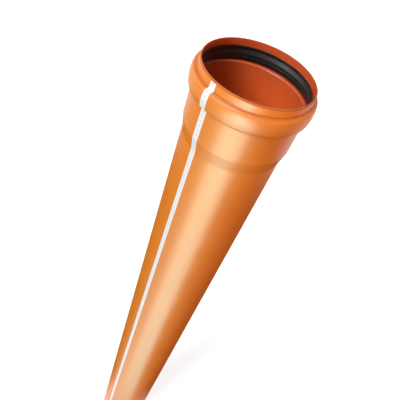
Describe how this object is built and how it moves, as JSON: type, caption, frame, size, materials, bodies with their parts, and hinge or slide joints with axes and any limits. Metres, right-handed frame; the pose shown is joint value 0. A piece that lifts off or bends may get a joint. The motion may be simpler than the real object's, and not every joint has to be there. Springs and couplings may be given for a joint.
{
  "type": "pvc drain pipe",
  "caption": "Orange-brown PVC-U drain pipe: a plain bevelled spigot end, and a formed push-fit socket with a black rubber sealing ring in its chamber.",
  "frame": {"origin": "centre of the plain end's face, where the pipe stands on the floor", "axes": "+Z along the pipe's axis, from the plain end up to the socket's mouth; X and Y are alike"},
  "size_m": [0.3584, 0.3584, 3.183],
  "materials": {
    "pvc_orange_brown": "satin",
    "black_rubber": "satin"
  },
  "bodies": {
    "root": {"pipe": "pvc_orange_brown", "seal_ring": "black_rubber"}
  },
  "joints": []
}
